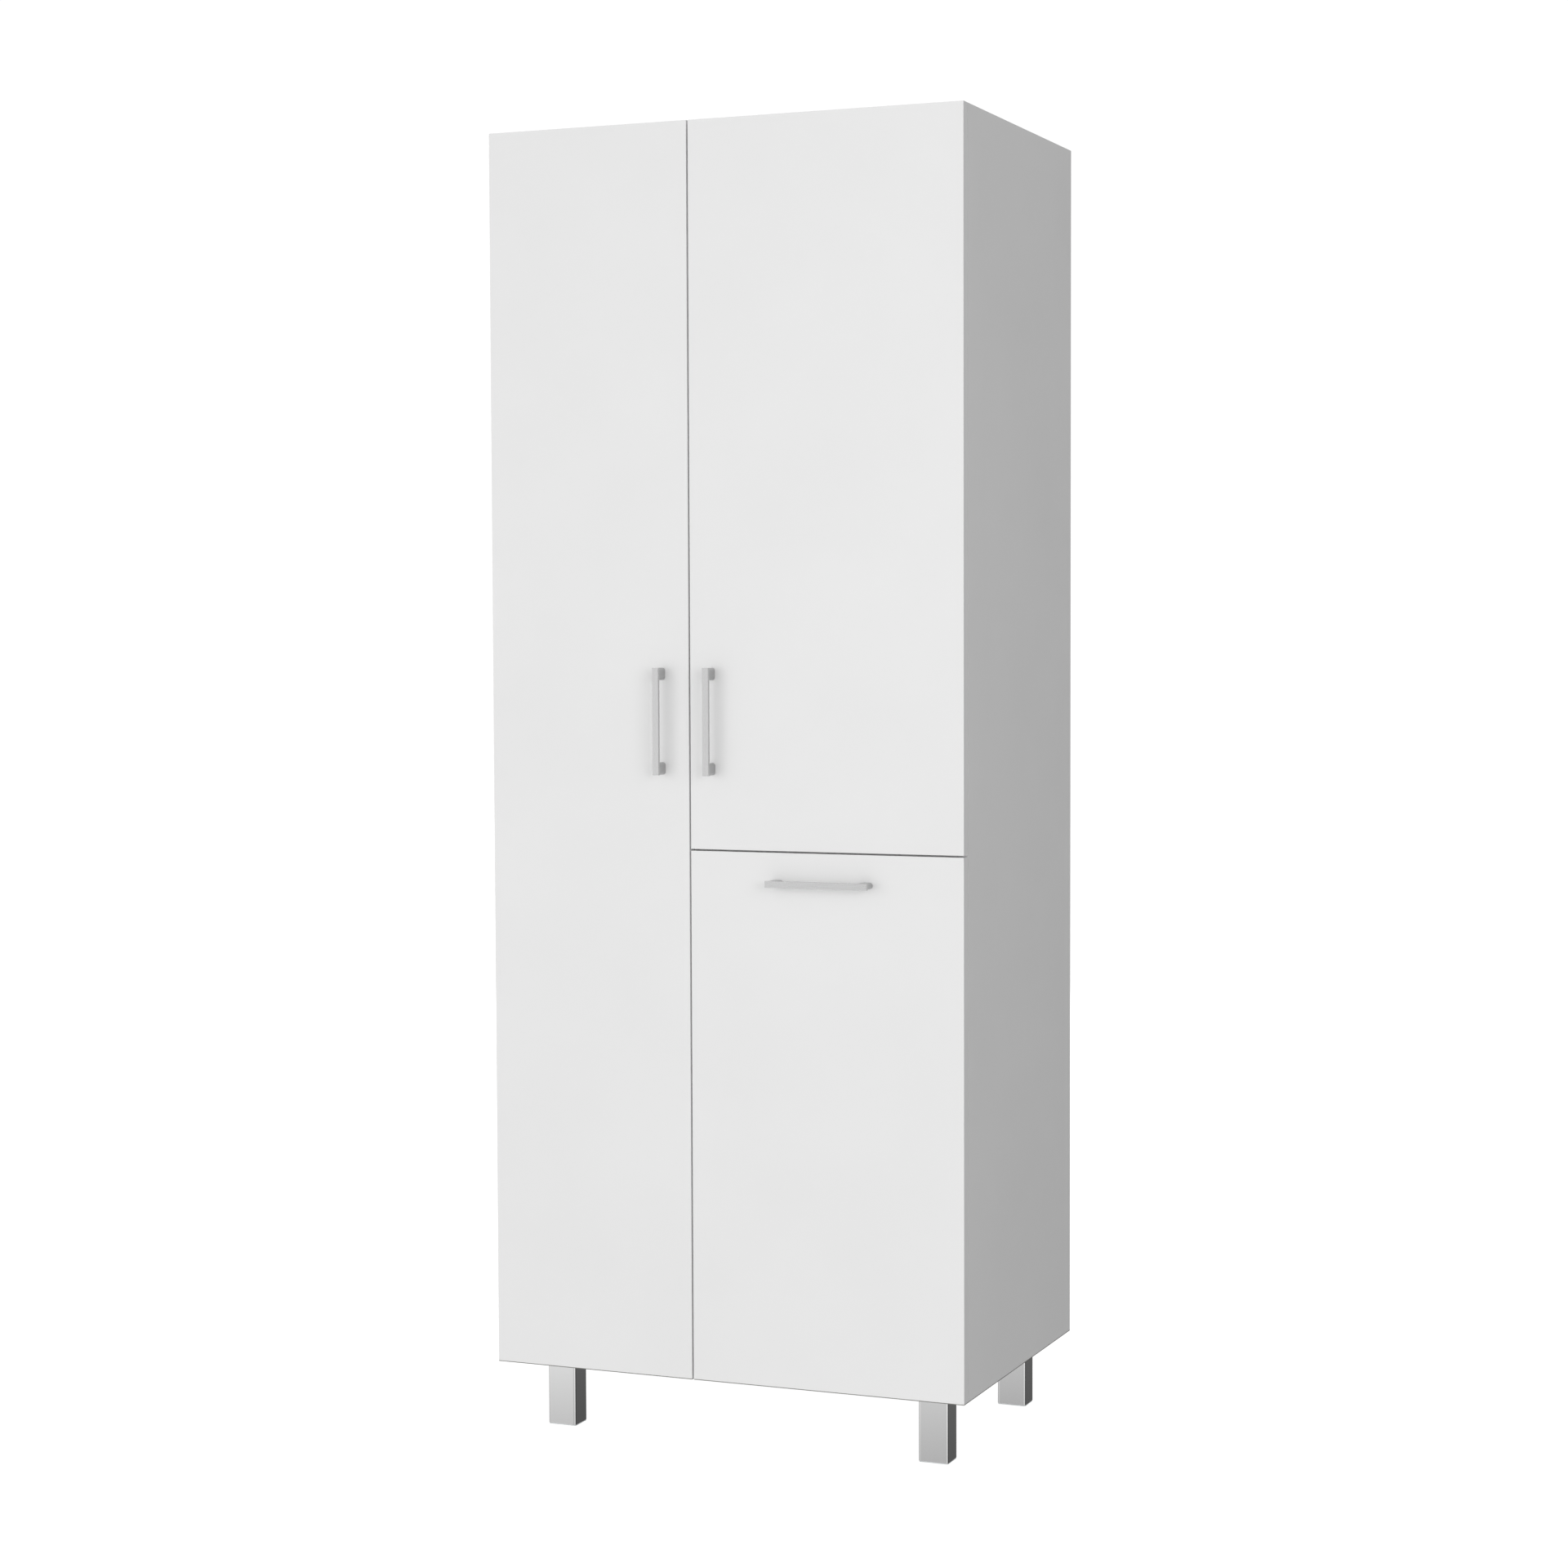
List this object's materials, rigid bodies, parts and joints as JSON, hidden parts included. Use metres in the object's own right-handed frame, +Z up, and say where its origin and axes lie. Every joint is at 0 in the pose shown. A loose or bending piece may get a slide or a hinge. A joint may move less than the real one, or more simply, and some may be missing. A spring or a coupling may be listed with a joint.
{
  "type": "pantry cabinet",
  "caption": "Tall white storage cabinet on square metal legs, with a full-height door, a shorter door and a tilt-out bin below it.",
  "frame": {"origin": "on the floor, under the middle of the whole object, handles included", "axes": "+X to the right of a person facing the fronts, +Y from the fronts to the back, +Z up"},
  "size_m": [0.65, 0.4684, 1.703],
  "materials": {
    "white_board": "smooth white melamine-faced board, satin",
    "hardboard": "thin white-faced hardboard, matt",
    "handle_metal": "brushed satin",
    "leg_metal": "brushed, satin",
    "zinc_steel": "bright zinc plate",
    "nickel_steel": "pressed and nickel plated",
    "beech": "fluted beech",
    "pale_plastic": "soft, satin"
  },
  "bodies": {
    "carcass": {"left_side_panel": "white_board", "right_side_panel": "white_board", "top_panel": "white_board", "bottom_panel": "white_board", "centre_partition": "white_board", "bin_top_shelf": "white_board", "bin_stop_rail": "white_board", "left_fixed_shelf": "white_board", "left_lower_shelf": "white_board", "left_upper_shelf": "white_board", "right_lower_shelf": "white_board", "right_upper_shelf": "white_board", "back_panel_left": "hardboard", "back_panel_right": "hardboard", "back_panel_nails": "zinc_steel", "shelf_pins": "zinc_steel", "cam_locks": "zinc_steel", "cam_bolts": "zinc_steel", "dowels": "beech", "leg_front_left": "leg_metal", "leg_front_right": "leg_metal", "leg_back_left": "leg_metal", "leg_back_right": "leg_metal", "leg_glides": "pale_plastic", "carcass_screws": "zinc_steel", "hinge_plates": "zinc_steel", "hinge_arms": "nickel_steel", "hinge_arm_pins": "zinc_steel", "anti_tip_brackets": "zinc_steel", "bin_hinge_fixed_leaves": "zinc_steel", "bin_hinge_pins": "zinc_steel", "front_bumpers": "pale_plastic"},
    "left_links": {"left_hinge_links": "nickel_steel"},
    "left_door": {"left_door_panel": "white_board", "left_hinge_cups": "nickel_steel", "left_hinge_cup_pins": "zinc_steel", "left_hinge_cup_screws": "zinc_steel", "left_handle_bar": "handle_metal", "left_handle_posts": "handle_metal", "left_handle_screws": "zinc_steel"},
    "right_links": {"right_hinge_links": "nickel_steel"},
    "right_door": {"right_door_panel": "white_board", "right_hinge_cups": "nickel_steel", "right_hinge_cup_pins": "zinc_steel", "right_hinge_cup_screws": "zinc_steel", "right_handle_bar": "handle_metal", "right_handle_posts": "handle_metal", "right_handle_screws": "zinc_steel"},
    "bin": {"bin_front_panel": "white_board", "bin_left_cheek": "white_board", "bin_right_cheek": "white_board", "bin_back": "white_board", "bin_bottom": "white_board", "bin_cam_locks": "zinc_steel", "bin_cam_bolts": "zinc_steel", "bin_hinge_moving_leaves": "zinc_steel", "bin_hinge_leaf_screws": "zinc_steel", "bin_handle_bar": "handle_metal", "bin_handle_posts": "handle_metal", "bin_handle_screws": "zinc_steel"}
  },
  "joints": [
    {"name": "left_link_turn", "type": "hinge", "parent": "carcass", "child": "left_links", "pos_m": [-0.285, -0.19175, 0.8985], "axis": [0, 0, 1], "range_deg": [0, 24]},
    {"name": "left_door_turn", "type": "hinge", "parent": "left_links", "child": "left_door", "pos_m": [-0.315, -0.20435, 0.8985], "axis": [0, 0, -1], "range_deg": [0, 124]},
    {"name": "right_link_turn", "type": "hinge", "parent": "carcass", "child": "right_links", "pos_m": [0.285, -0.19175, 1.242], "axis": [0, 0, -1], "range_deg": [0, 24]},
    {"name": "right_door_turn", "type": "hinge", "parent": "right_links", "child": "right_door", "pos_m": [0.315, -0.20435, 1.242], "axis": [0, 0, 1], "range_deg": [0, 124]},
    {"name": "bin_tilt", "type": "hinge", "parent": "carcass", "child": "bin", "pos_m": [0.1404, -0.19665, 0.0919], "axis": [1, 0, 0], "range_deg": [0, 28.3]}
  ],
  "couplings": [
    {"joint": "left_link_turn", "follows": "left_door_turn", "ratio": 0.19355},
    {"joint": "right_link_turn", "follows": "right_door_turn", "ratio": 0.19355}
  ]
}
